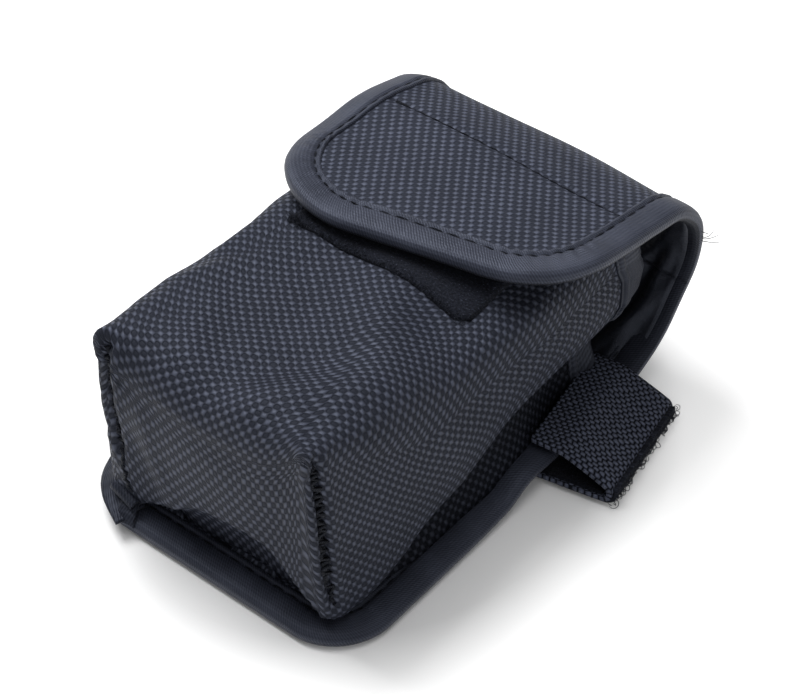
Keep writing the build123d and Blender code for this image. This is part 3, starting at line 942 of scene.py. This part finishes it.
def loop_patch():
    """The wide loop tape on the front, with wavy edges and lower corners that are pulled in."""
    xs, ys = np.linspace(-18.5, 20.5, 52), np.linspace(1.0, 24.0, 34)
    points, cloth = [], []
    for y in ys:
        for x in xs:
            from_end = min(x - xs[0], xs[-1] - x)
            edge = min(from_end, y - ys[0], ys[-1] - y)
            wave = 0.3 * math.sin(x / 6.0) + 0.25 * noise_at(x / 1.2, 0, 7)
            wave += 1.8 * max(0.0, 1 - from_end / 3.0) ** 2 * (ys[-1] - y) / (ys[-1] - ys[0])
            hit, normal = on_pocket(x, y + wave)
            lift = 0.95 * float(smooth(edge, -0.4, 1.0)) + 0.12 * noise_at(x / 1.5, y / 1.5, 3)
            points.append(hit + normal * (lift - 0.05))
            cloth.append((x, y))
    return sheet_piece("loop_patch", LOOP, points, grid_faces(len(ys), len(xs)), cloth, 0.8)


def patch_edge_fibres():
    """Stray fibres along the patch's lower edge, most of them at its left-hand end."""
    shape = Shape()
    for i in range(230):
        x = rng.uniform(-18.6, 20.6)
        if i % 3 == 0:
            x = -18.4 + abs(rng.normal(0, 1.4))
        y = 1.1 + 0.3 * math.sin(x / 6.0) + abs(rng.normal(0, 0.7))
        start, normal = on_pocket(x, y)
        way = (rng.normal(0, 0.5), -0.8, 0.5)
        hair(shape, start + normal * 0.7, way, rng.uniform(0.7, 2.0), rng.uniform(1.0, 4.0), 0.05)
    return shape.make("patch_fuzz", FIBRE)


patch = loop_patch()
patch_fuzz = patch_edge_fibres()
hook = slab(run_at(29.5, True), run_at(15.5, True), SHEET + 0.05, SHEET + 0.6, 6.6, 0.9, -21, 17)
hook = hook.make("hook_patch", HOOK)


# ---- the strap ----
STRAP_Y, STRAP_HALF, FOLD_X, PILE, FOLD_TOP = 27.6, 13.0, 41.9, 0.9, 4.4
SKEW, LEAN = math.radians(9.5), math.radians(7.5)       # of the fold, and of the upper leg
PILE_TRIM, HOOKS_TRIM = 0.7, 0.4        # how much narrower the two touch tapes are, at each edge
PIVOT_X, FOLD_Z = FOLD_X + PILE, (PILE + FOLD_TOP) / 2
# side view as x, z from the root in the seam, down to the fold and back along the floor
STRAP_LINE = rounded([(25.2, 9.0), (31.5, 9.0), (FOLD_X, FOLD_TOP), (FOLD_X, PILE), (16.2, PILE)],
                     [8, 1.7, 1.7], 0.25)
STRAP_RUN = run_along(STRAP_LINE)
STRAP_WAY = unit(np.gradient(STRAP_LINE, axis=0))
STRAP_END = float(STRAP_RUN[-1])
FOLD_RUN = float(STRAP_RUN[np.argmax(STRAP_LINE[:, 0])])


def strap_points(run, w, lift):
    """Points on the folded strap: run along it, w across it, lift outside its outer face."""
    x, z = (np.interp(run, STRAP_RUN, column) for column in STRAP_LINE.T)
    dx, dz = (np.interp(run, STRAP_RUN, column) for column in STRAP_WAY.T)
    curl = -0.28 * smooth(np.abs(w), STRAP_HALF - 1.4, STRAP_HALF)
    wave = 0.16 * np.sin(run / 3.1 + w * 0.22)
    x, z = x - dz * lift, z + dx * lift + (curl + wave) * smooth(z, 2.2, 4.5)
    lower = 1 - smooth(z, FOLD_Z - 1.0, FOLD_Z + 1.0)
    lean = mix(LEAN, 2 * SKEW - LEAN, lower) - SKEW
    along, across = x - PIVOT_X, w + (x - PIVOT_X) * np.tan(lean)
    return np.stack([PIVOT_X + along * math.cos(SKEW) - across * math.sin(SKEW),
                     STRAP_Y + along * math.sin(SKEW) + across * math.cos(SKEW), z], -1)


def strap_band(name, material, lift, thickness, first, last, trim=0.0):
    """A band that follows the folded strap between two places along it."""
    run = np.arange(first, last, 0.35)
    across = np.linspace(-STRAP_HALF + trim, STRAP_HALF - trim, 56)
    grid_run, grid_w = (grid.ravel() for grid in np.meshgrid(run, across, indexing="ij"))
    points, cloth = strap_points(grid_run, grid_w, lift), np.stack([grid_w + 30, grid_run], 1)
    return sheet_piece(name, material, points, grid_faces(len(run), len(across), flip=True), cloth, thickness)


def strap_fibres():
    """Loose loops of the pile that stand out along the fold."""
    shape = Shape()
    for w in np.linspace(-STRAP_HALF + 0.3, STRAP_HALF - 0.3, 150):
        start = strap_points(FOLD_RUN + rng.uniform(-0.3, 2.2), w + rng.normal(0, 0.3), 0.8)
        way = (math.cos(SKEW), math.sin(SKEW), rng.normal(0.1, 0.4))
        hair(shape, start, way, rng.uniform(1.2, 3.8), rng.uniform(3.0, 6.5), 0.085)
    return shape.make("strap_fuzz", FIBRE)


webbing = strap_band("strap_webbing", WEBBING, 0.0, 1.0, 0.0, STRAP_END)
loop_tape = strap_band("strap_pile", LOOP, 0.85, 0.8, FOLD_RUN - 0.6, STRAP_END - 14.6, PILE_TRIM)
tab = strap_band("strap_hooks", HOOK, -1.02, 0.4, FOLD_RUN + 3.5, STRAP_END - 0.3, HOOKS_TRIM)
fuzz = strap_fibres()
for piece in (webbing, loop_tape, fuzz):
    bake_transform(piece)


# ---- the tape's two ends ----
def ribbon(shape, middle, side, width, phase):
    """A short flat ribbon along a line; side is the direction of its width at each point."""
    count = 26
    known, at = np.arange(len(middle)), np.linspace(0, len(middle) - 1, count)
    line, sides = places_at(at, known, middle), unit(places_at(at, known, side))
    for _ in range(3):
        line[1:-1] = (line[:-2] + 2 * line[1:-1] + line[2:]) / 4
    w = np.linspace(-width / 2, width / 2, 9)
    points = line[:, None, :] + sides[:, None, :] * w[None, :, None]
    points[:, :, 2] += 0.25 * np.sin(w * 1.3 + phase)[None, :] * np.linspace(0.4, 1, count)[:, None]
    cloth = np.stack(np.meshgrid(w, at * 1.2), -1).reshape(-1, 2)
    thick_sheet(shape, points.reshape(-1, 3), grid_faces(count, len(w)), cloth, 0.5)


def rolled_end(shape, start, end):
    """A rolled-up end of tape: a spiral seen from its open side."""
    start, end = np.array(start), np.array(end)
    axis = unit(end - start)
    side = unit(np.cross(axis, (0, 0, 1)))
    up = np.cross(side, axis)
    points, cloth = [], []
    for t in np.linspace(0, 1, 12):
        for angle, radius in zip(np.linspace(0, 3.2 * math.pi, 40), np.linspace(0.5, 1.35, 40)):
            offset = side * math.cos(angle) * radius + up * math.sin(angle) * radius * (1 - 0.25 * t)
            points.append(mix(start, end, t) + offset)
            cloth.append((angle * 0.9, t * 6))
    thick_sheet(shape, points, grid_faces(12, 40), cloth, 0.3)


shape = Shape()
ribbon(shape, [(-29.2, -31.5, 3.3), (-28.4, -35.5, 4.1), (-26.6, -38.6, 5.0), (-23.6, -40.9, 4.7),
               (-20.6, -42.2, 3.9), (-18.6, -43.0, 3.2)],
       [(1, -0.1, 0.1), (0.85, 0.15, 0.45), (0.6, 0.5, 0.6), (0.35, 0.75, 0.45), (0.25, 0.9, 0.2),
        (0.2, 0.95, 0.1)], 6.4, 0.0)
rolled_end(shape, (-23.8, -41.0, 6.6), (-18.2, -41.8, 5.2))
ribbon(shape, [(-20.4, -40.6, 4.9), (-19.6, -42.2, 4.3), (-19.0, -43.6, 3.3), (-18.6, -44.2, 2.2)],
       [(1, 0.2, 0), (0.9, 0.2, 0), (0.7, 0.1, 0), (0.35, 0.1, 0)], 3.4, 1.7)
knot = shape.make("tape_ends", TAPE_END)


# ---- floor, light, camera ----
def paper():
    """White paper. The camera alone sees it glow, a painted light that grows away from the pouch, where the
    shadow has faded.
    """
    n = Nodes("floor_white")
    place = n.value("ShaderNodeTexCoord", "Object")
    shrunk = n.value("ShaderNodeVectorMath", 0, {0: place, 1: (1 / SHADOW_WIDE, 1 / SHADOW_LONG, 0)},
                     operation="MULTIPLY")
    away = n.value("ShaderNodeVectorMath", "Value", {0: shrunk}, operation="LENGTH")
    glow = n.value("ShaderNodeMapRange", 0, {
        "Value": away, "From Min": 1.0, "From Max": 1.3, "To Min": 0.02, "To Max": 0.36})
    seen = n.value("ShaderNodeLightPath", "Is Camera Ray")
    return n.finish({
        "Base Color": (0.97, 0.97, 0.97, 1), "Roughness": 0.9, "Specular IOR Level": 0.1,
        "Emission Color": (1, 1, 1, 1), "Emission Strength": glow * seen})


SHADOW_WIDE, SHADOW_LONG = 0.042, 0.050     # metres from the middle, where the shadow is still full
FLOOR_HALF, FLOOR_DOWN = 3.0, 0.0003
floor_mesh = bpy.data.meshes.new("floor")
corners = [(FLOOR_HALF * x, FLOOR_HALF * y, -FLOOR_DOWN) for x, y in ((-1, -1), (1, -1), (1, 1), (-1, 1))]
floor_mesh.from_pydata(corners, [], [[0, 1, 2, 3]])
floor_mesh.materials.append(paper())
floor = put_in_scene("floor", floor_mesh)


def lamp(name, place, target, size, power):
    light = bpy.data.lights.new(name, "AREA")
    light.shape = "RECTANGLE"
    light.size = light.size_y = size
    light.energy = power
    piece = put_in_scene(name, light)
    piece.location = place
    piece.rotation_euler = (Vector(target) - Vector(place)).to_track_quat("-Z", "Y").to_euler()


lamp("key", (-0.50, 0.05, 0.88), (0, 0, 0.02), 0.5, 7.8)
lamp("fill", (0.70, -0.40, 0.52), (0, 0, 0.02), 0.7, 1.0)
lamp("top", (0.0, 0.0, 1.0), (0, 0, 0), 0.7, 3.2)
world = bpy.data.worlds.new("studio")
world.use_nodes = True
scene.world = world
background = world.node_tree.nodes["Background"]
background.inputs["Color"].default_value = (1, 1, 1, 1)
background.inputs["Strength"].default_value = 0.19

camera = bpy.data.cameras.new("camera")
camera.lens = 102.24
camera.sensor_width = 36
camera.clip_start, camera.clip_end = 0.01, 20
eye = put_in_scene("camera", camera)
eye.location = (0.1906, -0.2244, 0.2975)
eye.rotation_euler = (math.radians(90 - 42.94), 0, math.radians(39.21))
scene.camera = eye
scene.view_settings.view_transform = "Standard"

# ---- what the pieces are to the part ----
for body, pieces in (("pouch", (pocket, inner, painted_corner_shade, mouth, patch, patch_fuzz, knot)),
                     ("riser", (loose_threads,)), ("flap", (seam, hook)), ("strap_end", (tab,))):
    for piece in pieces:
        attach(piece, body)

for piece, *nodes in (
        (back[0], "back_panel", "riser_panel"), (back[1], "back_lining", "riser_lining"),
        (back[2], "back_binding", "riser_binding_left", "riser_binding_right"),
        (flap[0], "flap_panel"), (flap[1], "flap_lining"), (flap[2], "flap_binding"),
        (pocket, "pocket_shell"), (inner, "pocket_lining"), (mouth, "mouth_binding"),
        (patch, "front_loop_patch"), (hook, "flap_hook_patch"), (knot, "tape_knot"),
        (webbing, "strap_upper", "strap_lower"), (loop_tape, "strap_loop_tape"), (tab, "strap_hook_tab")):
    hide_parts(*nodes)

slots = {
    "ballistic_nylon": (back[0], flap[0], pocket, seam, painted_corner_shade), "lining_cloth": (back[1], flap[1], inner),
    "binding_tape": (back[2], back[3], flap[2], flap[3], mouth, knot, loose_threads), "webbing": (webbing,),
    "loop_tape": (patch, patch_fuzz, loop_tape, fuzz), "hook_tape": (hook, tab)}
for slot, pieces in slots.items():
    for piece in pieces:
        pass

# flat sizes of the cut cloth, in mm: across the pouch, then along the strip or tape; with the area
# where it isn't simply their product, because corners are cut out or cut round
BACK_TAPE, FLAP_TAPE, MOUTH_TAPE, TAPE_ENDS = (15.5, 266.0), (15.5, 188.0), (16.0, 130.0), (10.0, 28.0)
BACK_AREA, BACK_LINING_AREA, FLAP_AREA = 6340.0, 6330.0, 4100.0
POCKET, POCKET_AREA, POCKET_LINING_AREA = (148.0, 124.0), 13000.0, 12100.0
PATCH, HOOK_PATCH = (39.0, 23.0), (38.0, 15.0)
STRAP_LONG, PILE_LONG, HOOKS_LONG = 46.0, 14.5, 23.5
back_flat, flap_flat = (2 * HALF, MID_RISER), (2 * HALF, FRONT_LEFT - MID_RISER)
for piece, flat, held, below, area, *on_it in (
        (back[0], back_flat, "stretched", "back_panel", BACK_AREA),
        (back[1], back_flat, "stretched", "back_panel", BACK_LINING_AREA),
        (back[2], BACK_TAPE, "folded", "back_panel", None, back[3]),
        (flap[0], flap_flat, "stretched", "flap_panel", FLAP_AREA, seam),
        (flap[1], flap_flat, "stretched", "flap_panel", FLAP_AREA),
        (flap[2], FLAP_TAPE, "folded", "flap_panel", None, flap[3]),
        (pocket, POCKET, "stretched", "back_panel", POCKET_AREA, painted_corner_shade),
        (inner, POCKET, "stretched", "pocket_shell", POCKET_LINING_AREA),
        (mouth, MOUTH_TAPE, "folded", "pocket_shell", None),
        (patch, PATCH, "laid", "pocket_shell", None, patch_fuzz),
        (hook, HOOK_PATCH, "laid", "flap_lining", None),
        (webbing, (2 * STRAP_HALF, STRAP_LONG), "folded", "back_binding", None, fuzz),
        (loop_tape, (2 * (STRAP_HALF - PILE_TRIM), PILE_LONG), "folded", "strap_lower", None),
        (tab, (2 * (STRAP_HALF - HOOKS_TRIM), HOOKS_LONG), "laid", "strap_lower", None),
        (knot, TAPE_ENDS, "folded", "back_binding", None)):
    tuple(size * MM for size in flat)
    None if area is None else area * MM * MM
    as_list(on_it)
